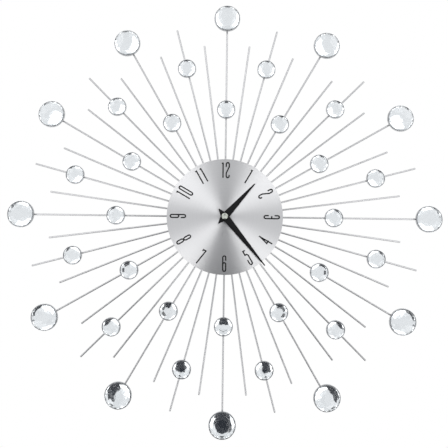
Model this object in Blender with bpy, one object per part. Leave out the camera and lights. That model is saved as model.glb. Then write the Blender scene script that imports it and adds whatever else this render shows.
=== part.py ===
"""Sunburst wall clock: welded wire rays with faceted stones round a spun dial,
carried and driven by a battery quartz movement.

Metres, +Z up, the clock faces -Y and the wall is the plane y = 0. The hand arbor lies
on the Y axis. A depth is a distance in front of the wall, so a point's y is -depth.
Clock angles run clockwise from twelve as seen from the front.
"""

import math

import bmesh
import bpy
from mathutils import Matrix, Vector

# Driving sizes of the sunburst
GAP = 0.0003
HOURS = 12
LONG_RAY_REACH = 0.235
MEDIUM_RAY_REACH = 0.2285
PLAIN_RAY_REACH = 0.204
INNER_STONE_REACH = 0.1255
OUTER_STONE_REACH = 0.180
RAY_START = 0.026
WIRE_RADIUS = 0.0010
WIRE_SIDES = 6
HUB_PLATE_RADIUS = 0.040
HUB_PLATE_THICK = 0.0012
HUB_PLATE_SIDES = 48

# Stones and the cups that hold them
LARGE_CUP_RADIUS = 0.0157
SMALL_CUP_RADIUS = 0.0108
CUP_WALL = 0.0008
CUP_HEIGHT = 0.0030
WELD = 0.0003
LARGE_STONE_HEIGHT = 0.0078
SMALL_STONE_HEIGHT = 0.0056
LARGE_SIDES = 16
SMALL_SIDES = 16
LARGE_FACETS = 12
SMALL_FACETS = 10
STONE_GIRDLE_RISE = 0.28
STONE_CROWN_RISE = 0.68
STONE_CROWN_SHARE = 0.80
STONE_TABLE_SHARE = 0.46

# Dial and hands
DIAL_RADIUS = 0.067
DIAL_THICK = 0.0010
DIAL_EDGE = 0.0003
DIAL_BORE_ROOM = 0.0008
DIAL_SIDES = 64
HAND_THICK = 0.0004
HAND_RIDGE = 0.0004
HAND_TAIL = 0.011
HAND_SHOULDER = 0.001
HAND_TIP_HALF = 0.0006
HAND_TAIL_HALF = 0.0004
HOUR_HAND_LENGTH = 0.0512
HOUR_HAND_HALF = 0.0045
MINUTE_HAND_LENGTH = 0.0725
MINUTE_HAND_HALF = 0.0043
HAND_SPACING = 0.0020
HAND_DIAL_SPACE = 0.0016
HOUR_HAND_ANGLE = math.radians(41.75)
MINUTE_HAND_ANGLE = math.radians(140.3)
CAP_RADIUS = 0.0037
CAP_HEIGHT = 0.0026
CAP_ROUNDING = 0.0009
CAP_SOCKET = 0.0014
CAP_DIMPLE = 0.0005

# Numerals, drawn as strokes with round bends
NUMERAL_MARGIN = 0.004175
NUMERAL_HEIGHT = 0.01765
NUMERAL_WIDTH = 0.0034
NUMERAL_STROKE = 0.0015
NUMERAL_RAISE = 0.00012
TEEN_SPREAD = 0.0029
TWELVE_SPREAD = 0.0027
BEND_STEPS = 4
NUMERAL_MIDDLE = DIAL_RADIUS - NUMERAL_MARGIN - NUMERAL_HEIGHT / 2

# Movement case
CASE_CORNER = 0.004
CASE_WALL = 0.0015
CASE_FLOOR = 0.0010
COVER_THICK = 0.0015
BUSH_RADIUS = 0.0040
NUT_THICK = 0.0020
NUT_FLATS = 0.011
POST_RADIUS = 0.0015
POST_INSET = 0.00505

# Hanger
HANGER_THICK = 0.0010
HANGER_WIDTH = 0.024
HANGER_DROP = 0.012
HANGER_RISE = 0.018
NAIL_HOLE_RADIUS = 0.0045
NAIL_SLOT_RADIUS = 0.0021
NAIL_SLOT_LENGTH = 0.006
NAIL_HOLE_MARGIN = 0.002

# Battery and its contacts
BATTERY_RADIUS = 0.00725
BATTERY_LENGTH = 0.0505
BATTERY_NUB_RADIUS = 0.00275
BATTERY_NUB_LENGTH = 0.0010
BATTERY_EDGE = 0.0004
BATTERY_ROOM = 0.0005
BATTERY_WALL_ROOM = 0.0007
BAY_WALL = 0.0012
CONTACT_THICK = 0.0005
CONTACT_HALF = 0.004
CONTACT_ROOM = 0.00045
CONTACT_NOTCH = 0.00105

# Gears: tooth counts, modules and the direction of each next axis
CANNON_TEETH = 12
MOTION_TEETH = 36
MOTION_PINION_TEETH = 10
HOUR_TEETH = 40
KNOB_TEETH = 12
CENTRE_TEETH = 48
THIRD_PINION_TEETH = 6
THIRD_TEETH = 45
FOURTH_PINION_TEETH = 6
FOURTH_TEETH = 36
FIFTH_PINION_TEETH = 6
FIFTH_TEETH = 30
ROTOR_TEETH = 6
LEAST_MOTION_MODULE = 0.00042
TRAIN_MODULE = 0.00036
MESH_PLAY = 0.00004
ARBOR_PASS_ROOM = 0.0005
TO_MOTION = math.radians(10.0)
TO_KNOB = math.radians(40.0)
TO_THIRD = math.radians(125.0)
TO_FOURTH = math.radians(70.0)
TO_FIFTH = math.radians(20.0)
TO_ROTOR = math.radians(-5.0)
TOOTH_TIP = 0.80
TOOTH_ROOT = 1.15
TOOTH_TIP_HALF = 0.10
TOOTH_ROOT_HALF = 0.27
TRAIN_ROOM = 0.0005
WHEEL_THICK = 0.0010
THIN_WHEEL = 0.0008

# Arbors and tubes
MINUTE_RADIUS = 0.0016
MINUTE_END_RADIUS = 0.0011
HOUR_TUBE_WALL = 0.0007
PIVOT_RADIUS = 0.0006
PIVOT_SINK = 0.0008
KNOB_ARBOR_RADIUS = 0.0012
KNOB_RADIUS = 0.006
KNOB_THICK = 0.003
KNOB_RIDGES = 24
CLUTCH_SEAT_RADIUS = 0.0026
CLUTCH_SEAT_THICK = 0.0004

# Motor, plate and board
MAGNET_RADIUS = 0.0036
MAGNET_THICK = 0.0020
STATOR_THICK = 0.0010
STATOR_ROOM = 0.0005
STATOR_ARM = 0.0018
STATOR_INSET = 0.0010
CORE_HALF = 0.0008
COIL_RADIUS = 0.0028
PIVOT_BOSS_WALL = 0.0007
PIVOT_BOSS_HEIGHT = 0.0015
BOARD_HEIGHT = 0.0054
BOARD_ROOM = 0.0005
BOARD_END_ROOM = 0.00075
BOARD_THICK = 0.0010
QUARTZ_RADIUS = 0.0010
QUARTZ_LENGTH = 0.006
CHIP_RADIUS = 0.0018
CHIP_HEIGHT = 0.0006

# The stack of depths, each from the piece behind it; the battery sets the case's depth
CASE_DEPTH = BATTERY_WALL_ROOM + 2 * BATTERY_RADIUS + GAP + CASE_FLOOR
CASE_BACK = COVER_THICK + GAP
FLOOR_BACK = CASE_DEPTH - CASE_FLOOR
HANGER_BACK = CASE_DEPTH + GAP
HUB_BACK = HANGER_BACK + HANGER_THICK + GAP
HUB_FRONT = HUB_BACK + HUB_PLATE_THICK
NUT_BACK = HUB_FRONT + GAP
BUSH_FRONT = NUT_BACK + NUT_THICK
WIRE_DEPTH = HUB_FRONT + WIRE_RADIUS - WELD
WIRE_FRONT = WIRE_DEPTH + WIRE_RADIUS
CUP_BACK = WIRE_FRONT - WELD
STONE_BACK = CUP_BACK + CUP_WALL + GAP
DIAL_BACK = max(WIRE_FRONT, BUSH_FRONT) + GAP
DIAL_FRONT = DIAL_BACK + DIAL_THICK
HOUR_HAND_BACK = DIAL_FRONT + HAND_DIAL_SPACE
MINUTE_HAND_BACK = HOUR_HAND_BACK + HAND_SPACING
CAP_BACK = MINUTE_HAND_BACK + HAND_THICK + HAND_RIDGE + GAP

# Radii that fit round each other along the arbor
HOUR_TUBE_BORE = MINUTE_RADIUS + GAP
HOUR_TUBE_RADIUS = HOUR_TUBE_BORE + HOUR_TUBE_WALL
BUSH_BORE = HOUR_TUBE_RADIUS + GAP
CLAMP_BORE = BUSH_RADIUS + GAP
DIAL_BORE = HOUR_TUBE_RADIUS + DIAL_BORE_ROOM

# Depths inside the movement, from the front floor towards the back
PINION_OVERHANG = 0.0002
TOOTH_ROOM = 0.0004
WHEEL_ROOM = 0.0006
CLUTCH_ROOM = 0.0007
HOUR_WHEEL_BACK = FLOOR_BACK - WHEEL_THICK - WHEEL_ROOM
MOTION_WHEEL_BACK = HOUR_WHEEL_BACK - WHEEL_THICK - PINION_OVERHANG - WHEEL_ROOM
CENTRE_WHEEL_BACK = MOTION_WHEEL_BACK - WHEEL_THICK - 2 * WHEEL_ROOM
THIRD_WHEEL_BACK = CENTRE_WHEEL_BACK - THIN_WHEEL - CLUTCH_SEAT_THICK - CLUTCH_ROOM
FOURTH_WHEEL_BACK = THIRD_WHEEL_BACK - THIN_WHEEL - TOOTH_ROOM - WHEEL_ROOM
FIFTH_WHEEL_BACK = THIRD_WHEEL_BACK - TOOTH_ROOM
BOARD_BACK = FOURTH_WHEEL_BACK - BOARD_THICK - 2 * WHEEL_ROOM
PIVOT_BACK = COVER_THICK + GAP
PIVOT_FRONT = FLOOR_BACK + PIVOT_SINK
MAGNET_BACK = CENTRE_WHEEL_BACK + THIN_WHEEL


def step_from(start, direction, distance):
    """The point a distance away from a start point, in the plane of the dial."""
    return (
        start[0] + distance * math.cos(direction),
        start[1] + distance * math.sin(direction),
    )


def mesh_distance(teeth_a, teeth_b, module):
    """Centre distance of two meshing gears."""
    return (teeth_a + teeth_b) / 2 * module + MESH_PLAY


def tip_radius(teeth, module):
    """A gear's radius over its teeth."""
    return module * (teeth / 2 + TOOTH_TIP)


# The motion wheel's arbor passes the rim of the centre wheel
ARBOR_PASS = tip_radius(CENTRE_TEETH, TRAIN_MODULE) + PIVOT_RADIUS + ARBOR_PASS_ROOM
MOTION_MODULE = max(LEAST_MOTION_MODULE, ARBOR_PASS * 2 / (CANNON_TEETH + MOTION_TEETH))
HOUR_MODULE = (
    (mesh_distance(CANNON_TEETH, MOTION_TEETH, MOTION_MODULE) - MESH_PLAY)
    * 2
    / (MOTION_PINION_TEETH + HOUR_TEETH)
)
CENTRE_AXIS = (0.0, 0.0)
MOTION_AXIS = step_from(CENTRE_AXIS, TO_MOTION, mesh_distance(CANNON_TEETH, MOTION_TEETH, MOTION_MODULE))
KNOB_AXIS = step_from(MOTION_AXIS, TO_KNOB, mesh_distance(MOTION_TEETH, KNOB_TEETH, MOTION_MODULE))
THIRD_AXIS = step_from(CENTRE_AXIS, TO_THIRD, mesh_distance(CENTRE_TEETH, THIRD_PINION_TEETH, TRAIN_MODULE))
FOURTH_AXIS = step_from(THIRD_AXIS, TO_FOURTH, mesh_distance(THIRD_TEETH, FOURTH_PINION_TEETH, TRAIN_MODULE))
FIFTH_AXIS = step_from(FOURTH_AXIS, TO_FIFTH, mesh_distance(FOURTH_TEETH, FIFTH_PINION_TEETH, TRAIN_MODULE))
ROTOR_AXIS = step_from(FIFTH_AXIS, TO_ROTOR, mesh_distance(FIFTH_TEETH, ROTOR_TEETH, TRAIN_MODULE))


# The case is wide enough for the battery's length, the battery below the train, and the train
STATOR_REACH = MAGNET_RADIUS + STATOR_ROOM + STATOR_ARM
REACHES = (
    (CENTRE_AXIS, tip_radius(CENTRE_TEETH, TRAIN_MODULE)),
    (CENTRE_AXIS, tip_radius(HOUR_TEETH, HOUR_MODULE)),
    (MOTION_AXIS, tip_radius(MOTION_TEETH, MOTION_MODULE)),
    (KNOB_AXIS, KNOB_RADIUS + 2 * GAP),
    (THIRD_AXIS, tip_radius(THIRD_TEETH, TRAIN_MODULE)),
    (FOURTH_AXIS, tip_radius(FOURTH_TEETH, TRAIN_MODULE)),
    (FIFTH_AXIS, tip_radius(FIFTH_TEETH, TRAIN_MODULE)),
    (ROTOR_AXIS, STATOR_REACH + STATOR_INSET),
)
TRAIN_DROP = max(radius - axis[1] for axis, radius in REACHES)
TRAIN_RISE = max(radius + axis[1] for axis, radius in REACHES)
MOTOR_SPREAD = ROTOR_AXIS[0] + STATOR_REACH + 2 * COIL_RADIUS + 2 * STATOR_INSET
INSIDE_HALF = max(
    BATTERY_LENGTH / 2 + GAP + CONTACT_THICK + CONTACT_ROOM,
    2 * (BATTERY_RADIUS + BATTERY_ROOM) + BAY_WALL + TRAIN_ROOM + TRAIN_DROP,
    TRAIN_RISE + TRAIN_ROOM,
    MOTOR_SPREAD,
)
CASE_HALF = INSIDE_HALF + CASE_WALL
BATTERY_DEPTH = FLOOR_BACK - GAP - BATTERY_RADIUS
BAY_BOTTOM = -INSIDE_HALF
BATTERY_Z = BAY_BOTTOM + BATTERY_ROOM + BATTERY_RADIUS
BAY_TOP = BATTERY_Z + BATTERY_RADIUS + BATTERY_ROOM
TRAIN_BOTTOM = BAY_TOP + BAY_WALL
BOARD_BOTTOM = TRAIN_BOTTOM + BOARD_ROOM
BOARD_TOP = BOARD_BOTTOM + BOARD_HEIGHT
BOARD_MIDDLE = (BOARD_BOTTOM + BOARD_TOP) / 2
INSIDE_CLEAR = INSIDE_HALF - GAP
CONTACT_INNER = BATTERY_LENGTH / 2 + GAP



# ---------------------------------------------------------------- outlines and solids


def circle(radius, sides, centre=(0.0, 0.0), turn=0.0):
    """Points round a circle, in the plane of the dial."""
    return [
        (
            centre[0] + radius * math.cos(turn + math.tau * k / sides),
            centre[1] + radius * math.sin(turn + math.tau * k / sides),
        )
        for k in range(sides)
    ]


def rectangle(x0, x1, z0, z1):
    """The corners of an upright rectangle."""
    return [(x0, z0), (x1, z0), (x1, z1), (x0, z1)]


def rounded_square(half, corner, steps=4):
    """A square with its corners rounded as arcs."""
    points = []
    for quarter in range(4):
        start = quarter * math.pi / 2
        middle = start + math.pi / 4
        reach = (half - corner) * math.sqrt(2)
        centre = (reach * math.cos(middle), reach * math.sin(middle))
        for k in range(steps + 1):
            angle = start + math.pi / 2 * k / steps
            points.append((centre[0] + corner * math.cos(angle), centre[1] + corner * math.sin(angle)))
    return points


def gear(teeth, module, phase):
    """A gear's outline with one tooth pointing along the phase angle."""
    pitch = math.tau / teeth
    root = module * (teeth / 2 - TOOTH_ROOT)
    tip = module * (teeth / 2 + TOOTH_TIP)
    points = []
    for k in range(teeth):
        middle = phase + k * pitch
        for radius, offset in (
            (root, -TOOTH_ROOT_HALF),
            (tip, -TOOTH_TIP_HALF),
            (tip, TOOTH_TIP_HALF),
            (root, TOOTH_ROOT_HALF),
        ):
            angle = middle + offset * pitch
            points.append((radius * math.cos(angle), radius * math.sin(angle)))
    return points


def meshing_phase(teeth, phase, direction, other_teeth):
    """The phase at which a second gear's teeth fall in the first gear's gaps."""
    pitch = math.tau / teeth
    other_pitch = math.tau / other_teeth
    lead = ((direction - phase) % pitch) / pitch
    return direction + math.pi + (lead + 0.5) * other_pitch


def loft(bm, rings, closed=False):
    """Skin between rings of equal length; a one-point ring closes to a tip."""
    made = [[bm.verts.new(point) for point in ring] for ring in rings]
    pairs = list(zip(made, made[1:]))
    if closed:
        pairs.append((made[-1], made[0]))
    for lower, upper in pairs:
        sides = max(len(lower), len(upper))
        for k in range(sides):
            corners = [
                lower[k % len(lower)],
                lower[(k + 1) % len(lower)],
                upper[(k + 1) % len(upper)],
                upper[k % len(upper)],
            ]
            bm.faces.new(list(dict.fromkeys(corners)))
    if not closed:
        for ring in (made[0], made[-1]):
            if len(ring) > 2:
                bm.faces.new(ring)


def prism(bm, outline, back, front):
    """A flat-ended solid with the given outline between two depths."""
    loft(bm, [[(x, -depth, z) for x, z in outline] for depth in (back, front)])


def lathe(bm, profile, sides, closed=False, turn=0.0):
    """A solid of revolution about the Y axis from (radius, depth) points."""
    rings = []
    for radius, depth in profile:
        if radius == 0.0:
            rings.append([(0.0, -depth, 0.0)])
        else:
            rings.append([(x, -depth, z) for x, z in circle(radius, sides, turn=turn)])
    loft(bm, rings, closed)


def ring_profile(bore, radius, back, front):
    """The section of a flat ring."""
    return [(bore, back), (radius, back), (radius, front), (bore, front)]


def new_object(name, bm):
    """Turn a bmesh into a linked object with outward normals."""
    bmesh.ops.recalc_face_normals(bm, faces=bm.faces[:])
    mesh = bpy.data.meshes.new(name)
    bm.to_mesh(mesh)
    bm.free()
    obj = bpy.data.objects.new(name, mesh)
    bpy.context.scene.collection.objects.link(obj)
    return obj


def solid(build, *args):
    """A loose solid for joining or cutting, made by one builder call."""
    bm = bmesh.new()
    build(bm, *args)
    return new_object("tool", bm)


def rod(radius, back, front, sides=12, centre=(0.0, 0.0)):
    """A round rod along the Y axis, as a loose solid."""
    return solid(prism, circle(radius, sides, centre), back, front)


def box(x0, x1, z0, z1, back, front):
    """A box as a loose solid."""
    return solid(prism, rectangle(x0, x1, z0, z1), back, front)


def combine(target, tools, operation):
    """Join or cut the target with each tool in turn, and use the tools up."""
    for tool in tools:
        modifier = target.modifiers.new("combine", "BOOLEAN")
        modifier.operation = operation
        modifier.solver = "EXACT"
        modifier.object = tool
    depsgraph = bpy.context.evaluated_depsgraph_get()
    mesh = bpy.data.meshes.new_from_object(target.evaluated_get(depsgraph))
    target.modifiers.clear()
    target.data = mesh
    for tool in tools:
        bpy.data.objects.remove(tool)
    return target


def join(target, *tools):
    """Weld loose solids on to the target."""
    return combine(target, tools, "UNION")


def cut(target, *tools):
    """Cut loose solids out of the target."""
    return combine(target, tools, "DIFFERENCE")


def finish(obj, name, material, axis=(0.0, 0.0), angle=0.0):
    """Name a finished piece, give it its material and put it on its axis."""
    obj.name = name
    obj.data.name = name
    obj.data.materials.clear()
    obj.data.materials.append(material)
    obj.location = (axis[0], 0.0, axis[1])
    obj.rotation_euler = (0.0, angle, 0.0)
    return obj


def material(name, colour, roughness, metallic):
    """A Principled material with one base colour."""
    made = bpy.data.materials.new(name)
    made.use_nodes = True
    shader = made.node_tree.nodes["Principled BSDF"]
    shader.inputs["Base Color"].default_value = (*colour, 1.0)
    shader.inputs["Roughness"].default_value = roughness
    shader.inputs["Metallic"].default_value = metallic
    made.diffuse_color = (*colour, 1.0)
    return made


# ---------------------------------------------------------------- rays and stones


def wire(bm, reach):
    """One straight round wire from the hub plate out to its reach."""
    section = circle(WIRE_RADIUS, WIRE_SIDES, (0.0, -WIRE_DEPTH), math.pi / WIRE_SIDES)
    loft(bm, [[(x, y, radius) for x, y in section] for radius in (RAY_START, reach)])


def cup(bm, radius, reach, sides):
    """A shallow round cup open to the front, standing at a radius above the hub."""
    floor = CUP_BACK + CUP_WALL
    rim = CUP_BACK + CUP_HEIGHT
    inner = radius - CUP_WALL
    profile = [(0.0, CUP_BACK), (radius, CUP_BACK), (radius, rim), (inner, rim), (inner, floor), (0.0, floor)]
    lathe(bm, profile, sides, turn=math.pi / sides)
    bmesh.ops.translate(bm, vec=(0.0, 0.0, reach), verts=bm.verts[:])


def stone(bm, radius, height, sides, reach):
    """A flat-backed domed stone cut in two rows of facets round a table."""
    rows = [
        (1.0, 0.0, 0.0),
        (1.0, STONE_GIRDLE_RISE, 0.0),
        (STONE_CROWN_SHARE, STONE_CROWN_RISE, 0.5),
        (STONE_TABLE_SHARE, 1.0, 0.0),
    ]
    rings = [
        [
            (x, -STONE_BACK - rise * height, z)
            for x, z in circle(share * radius, sides, turn=math.tau * shift / sides)
        ]
        for share, rise, shift in rows
    ]
    base, girdle, crown, table = [[bm.verts.new(point) for point in ring] for ring in rings]
    bm.faces.new(base)
    bm.faces.new(table)
    for k in range(sides):
        after = (k + 1) % sides
        bm.faces.new((base[k], base[after], girdle[after], girdle[k]))
        bm.faces.new((girdle[k], girdle[after], crown[k]))
        bm.faces.new((girdle[after], crown[after], crown[k]))
        bm.faces.new((crown[k], table[after], table[k]))
        bm.faces.new((crown[k], crown[after], table[after]))
    bmesh.ops.translate(bm, vec=(0.0, 0.0, reach), verts=bm.verts[:])


def stone_ring(source, prefix, first_angle, surface):
    """Twelve stones on one circle, numbered clockwise, that share the source's mesh."""
    source.data.materials.append(surface)
    for place in range(HOURS):
        copy = bpy.data.objects.new(f"{prefix}_{place or HOURS:02d}", source.data)
        copy.rotation_euler = (0.0, first_angle + math.tau * place / HOURS, 0.0)
        bpy.context.scene.collection.objects.link(copy)
    bpy.data.objects.remove(source)


def make_ray_frame(steel):
    """Hub plate, forty-eight wires and thirty-six cups, welded into one frame."""
    section = ring_profile(CLAMP_BORE, HUB_PLATE_RADIUS, HUB_BACK, HUB_FRONT)
    frame = solid(lathe, section, HUB_PLATE_SIDES, True, math.pi / HUB_PLATE_SIDES / 2)
    for place in range(4 * HOURS):
        angle = math.tau * place / (4 * HOURS)
        if place % 4 == 0:
            pieces = [
                solid(wire, LONG_RAY_REACH + LARGE_CUP_RADIUS / 2),
                solid(cup, LARGE_CUP_RADIUS, LONG_RAY_REACH, LARGE_SIDES),
                solid(cup, SMALL_CUP_RADIUS, INNER_STONE_REACH, SMALL_SIDES),
            ]
        elif place % 4 == 2:
            pieces = [
                solid(wire, MEDIUM_RAY_REACH),
                solid(cup, SMALL_CUP_RADIUS, OUTER_STONE_REACH, SMALL_SIDES),
            ]
        else:
            pieces = [solid(wire, PLAIN_RAY_REACH)]
        for piece in pieces:
            piece.data.transform(Matrix.Rotation(angle, 4, "Y"))
        join(frame, *pieces)
    finish(frame, "ray_frame", steel)


def make_stones(glass):
    """Large stones at the hours, small ones part way along the long and medium rays."""
    large = (LARGE_CUP_RADIUS - CUP_WALL) * math.cos(math.pi / LARGE_SIDES) - GAP
    small = (SMALL_CUP_RADIUS - CUP_WALL) * math.cos(math.pi / SMALL_SIDES) - GAP
    half_hour = math.pi / HOURS
    on_hour = solid(stone, large, LARGE_STONE_HEIGHT, LARGE_FACETS, LONG_RAY_REACH)
    inner = solid(stone, small, SMALL_STONE_HEIGHT, SMALL_FACETS, INNER_STONE_REACH)
    outer = solid(stone, small, SMALL_STONE_HEIGHT, SMALL_FACETS, OUTER_STONE_REACH)
    stone_ring(on_hour, "hour_crystal", 0.0, glass)
    stone_ring(inner, "inner_crystal", 0.0, glass)
    stone_ring(outer, "outer_crystal", half_hour, glass)


# ---------------------------------------------------------------- dial and numerals


def bend(centre_x, centre_y, start, sweep, radius=NUMERAL_WIDTH / 2):
    """Points along an arc of a stroke; angles in quarter turns from the right."""
    return [
        (
            centre_x + radius * math.cos(math.pi / 2 * (start + sweep * k / BEND_STEPS)),
            centre_y + radius * math.sin(math.pi / 2 * (start + sweep * k / BEND_STEPS)),
        )
        for k in range(BEND_STEPS + 1)
    ]


def stroke_paths(digit):
    """The centre lines of one digit's strokes, each with whether it closes."""
    side = NUMERAL_WIDTH / 2
    top = NUMERAL_HEIGHT / 2
    arc = top - side
    hook = NUMERAL_HEIGHT * 0.31
    over = bend(0.0, arc, 2, -2)
    under = bend(0.0, -arc, 0, -2)
    loop_end = -top + NUMERAL_HEIGHT * 0.56
    if digit == "0":
        return [(over + under, True)]
    if digit == "1":
        flag = [(-side * 0.9, top - side * 0.6), (0.0, top - side * 0.4)]
        return [([(0.0, top), (0.0, -top)], False), (flag, False)]
    if digit == "2":
        slope = [(side, top * 0.45), (-side, -top * 0.4)]
        tail = [(-side, -arc)] + bend(0.0, -arc, 2, 2)[1:] + [(side, -top + hook * 0.6)]
        return [([(-side, top - hook * 0.95)] + over + slope + tail, False)]
    if digit == "3":
        upper = [(-side, top - hook)] + over
        lower = under + [(-side, -top + hook)]
        return [(upper + [(side, 0.0)] + lower, False), ([(side, 0.0), (-side * 0.7, 0.0)], False)]
    if digit == "4":
        bar = top - NUMERAL_HEIGHT * 0.68
        return [
            ([(side * 0.4, top), (side * 0.4, -top)], False),
            ([(side * 0.4, top - side), (-side * 1.2, bar), (side * 1.1, bar)], False),
        ]
    if digit == "5":
        flag = [(side * 0.6, top), (-side, top), (-side, top - hook * 0.9), (side * 0.2, top - hook * 0.9)]
        return [(flag + [(side, top - hook * 1.2)] + under + [(-side, -top + hook * 1.2)], False)]
    if digit == "6":
        stem = [(side, top - hook)] + over[::-1]
        loop = bend(0.0, loop_end - side, 0, 2) + bend(0.0, -arc, 2, 2)
        return [(stem + [(-side, loop_end - side)], False), (loop, True)]
    if digit == "7":
        return [([(-side, top - side), (-side * 0.8, top), (side, top), (-side * 0.5, -top)], False)]
    if digit == "8":
        neck = [(side * 0.35, 0.0), (-side * 0.35, 0.0)]
        upper = over + [(side, top * 0.25)] + neck + [(-side, top * 0.25)]
        return [(upper, True), ([(-x, -z) for x, z in upper], True)]
    return [([(-x, -z) for x, z in path], closed) for path, closed in stroke_paths("6")]


def offset_line(path, closed, distance):
    """A line parallel to a path, mitred at its corners."""
    moved = []
    count = len(path)
    for k, point in enumerate(path):
        here = Vector(point)
        before = Vector(path[k - 1]) if closed or k else None
        after = Vector(path[(k + 1) % count]) if closed or k < count - 1 else None
        runs = [run.normalized() for run in (before and here - before, after and after - here) if run]
        sides = [Vector((-run.y, run.x)) for run in runs]
        middle = sum(sides, Vector((0.0, 0.0))).normalized()
        stretch = min(1.0 / max(middle.dot(sides[0]), 0.3), 2.0)
        moved.append(tuple(here + middle * distance * stretch))
    return moved


def stroke(bm, path, closed, back, front):
    """A flat ribbon of even width along a path."""
    left = offset_line(path, closed, NUMERAL_STROKE / 2)
    right = offset_line(path, closed, -NUMERAL_STROKE / 2)
    if closed:
        sections = [(left, back), (right, back), (right, front), (left, front)]
        loft(bm, [[(x, -depth, z) for x, z in line] for line, depth in sections], closed=True)
    else:
        prism(bm, left + right[::-1], back, front)


def numeral_strokes(hour):
    """Loose solids for one hour's numeral, at its place on the dial."""
    digits = str(hour)
    spread = TWELVE_SPREAD if hour == HOURS else TEEN_SPREAD
    upside_down = 3 < hour < 9
    angle = math.tau * hour / HOURS + (math.pi if upside_down else 0.0)
    middle = -NUMERAL_MIDDLE if upside_down else NUMERAL_MIDDLE
    strokes = []
    for place, digit in enumerate(digits):
        shift = (2 * place - 1) * spread if len(digits) == 2 else 0.0
        for path, closed in stroke_paths(digit):
            placed = [(x + shift, z + middle) for x, z in path]
            piece = solid(stroke, placed, closed, DIAL_BACK + DIAL_THICK / 2, DIAL_FRONT + NUMERAL_RAISE)
            piece.data.transform(Matrix.Rotation(angle, 4, "Y"))
            strokes.append(piece)
    return strokes


def make_dial(aluminium):
    """The spun dial with its numerals standing as a thin layer on its face."""
    profile = [
        (DIAL_BORE, DIAL_BACK),
        (DIAL_RADIUS - DIAL_EDGE, DIAL_BACK),
        (DIAL_RADIUS, DIAL_BACK + DIAL_EDGE),
        (DIAL_RADIUS, DIAL_FRONT - DIAL_EDGE),
        (DIAL_RADIUS - DIAL_EDGE, DIAL_FRONT),
        (DIAL_BORE, DIAL_FRONT),
    ]
    dial = solid(lathe, profile, DIAL_SIDES, True, math.pi / DIAL_SIDES)
    for hour in range(1, HOURS + 1):
        join(dial, *numeral_strokes(hour))
    finish(dial, "dial", aluminium)


# ---------------------------------------------------------------- hands


def hand(bm, length, half, back):
    """A kite-shaped hand, widest just behind the arbor, with a low crest."""
    edge = back + HAND_THICK
    crest = edge + HAND_RIDGE
    outline = [
        (HAND_TAIL_HALF, -HAND_TAIL),
        (half, -HAND_SHOULDER),
        (HAND_TIP_HALF, length),
        (-HAND_TIP_HALF, length),
        (-half, -HAND_SHOULDER),
        (-HAND_TAIL_HALF, -HAND_TAIL),
    ]
    under = [bm.verts.new((x, -back, z)) for x, z in outline]
    over = [bm.verts.new((x, -edge, z)) for x, z in outline]
    heel = bm.verts.new((0.0, -crest, -HAND_SHOULDER))
    bm.faces.new(under)
    for k in range(len(outline)):
        after = (k + 1) % len(outline)
        bm.faces.new((under[k], under[after], over[after], over[k]))
        bm.faces.new((over[k], over[after], heel))


def make_hands(black, nickel):
    """Hour hand, minute hand and the round cap that holds them on."""
    hour_hand = solid(hand, HOUR_HAND_LENGTH, HOUR_HAND_HALF, HOUR_HAND_BACK)
    eye = rod(HOUR_TUBE_RADIUS + GAP, DIAL_FRONT, MINUTE_HAND_BACK, 16)
    finish(cut(hour_hand, eye), "hour_hand", black, angle=HOUR_HAND_ANGLE)
    minute_hand = solid(hand, MINUTE_HAND_LENGTH, MINUTE_HAND_HALF, MINUTE_HAND_BACK)
    eye = rod(MINUTE_END_RADIUS + GAP, HOUR_HAND_BACK, CAP_BACK + CAP_HEIGHT, 12)
    finish(cut(minute_hand, eye), "minute_hand", black, angle=MINUTE_HAND_ANGLE)
    top = CAP_BACK + CAP_HEIGHT
    socket = MINUTE_END_RADIUS + GAP
    roof = CAP_BACK + CAP_SOCKET
    profile = [
        (0.0, roof),
        (socket, roof),
        (socket, CAP_BACK),
        (CAP_RADIUS, CAP_BACK),
        (CAP_RADIUS, top - CAP_ROUNDING),
        (CAP_RADIUS * 0.86, top - CAP_ROUNDING / 3),
        (CAP_RADIUS * 0.62, top),
        (CAP_RADIUS * 0.40, top - CAP_DIMPLE * 0.6),
        (0.0, top - CAP_DIMPLE),
    ]
    finish(solid(lathe, profile, 24), "hand_cap", nickel)


# ---------------------------------------------------------------- hub, hanger and fixings


def make_nut(brass):
    """The hexagon nut that clamps the hub plate and hanger to the movement's bush."""
    hexagon = circle(NUT_FLATS / 2 / math.cos(math.pi / 6), 6)
    nut = cut(solid(prism, hexagon, NUT_BACK, BUSH_FRONT), rod(CLAMP_BORE, HUB_BACK, DIAL_BACK, 24))
    finish(nut, "fixing_nut", brass)


def make_hanger(steel):
    """A bent strip clamped at the bush, with a nail keyhole behind its top."""
    half = HANGER_WIDTH / 2
    shelf = CASE_HALF + GAP
    front = HANGER_BACK + HANGER_THICK
    tab_top = shelf + HANGER_RISE
    hole_z = shelf + HANGER_THICK + NAIL_HOLE_RADIUS + NAIL_HOLE_MARGIN
    slot_z = hole_z + NAIL_SLOT_LENGTH
    plate = box(-half, half, -HANGER_DROP, shelf + HANGER_THICK, HANGER_BACK, front)
    shelf_strip = box(-half, half, shelf, shelf + HANGER_THICK, GAP, front - HANGER_THICK / 2)
    tab = box(-half, half, shelf, tab_top, GAP, GAP + HANGER_THICK)
    join(plate, shelf_strip, tab)
    behind = -HANGER_THICK
    beyond = GAP + 2 * HANGER_THICK
    cut(
        plate,
        rod(CLAMP_BORE, CASE_DEPTH, HUB_BACK, 24),
        rod(NAIL_HOLE_RADIUS, behind, beyond, 16, (0.0, hole_z)),
        rod(NAIL_SLOT_RADIUS, behind, beyond, 12, (0.0, slot_z)),
        box(-NAIL_SLOT_RADIUS, NAIL_SLOT_RADIUS, hole_z, slot_z, behind, beyond),
    )
    finish(plate, "hanger_plate", steel)


# ---------------------------------------------------------------- movement case


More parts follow.
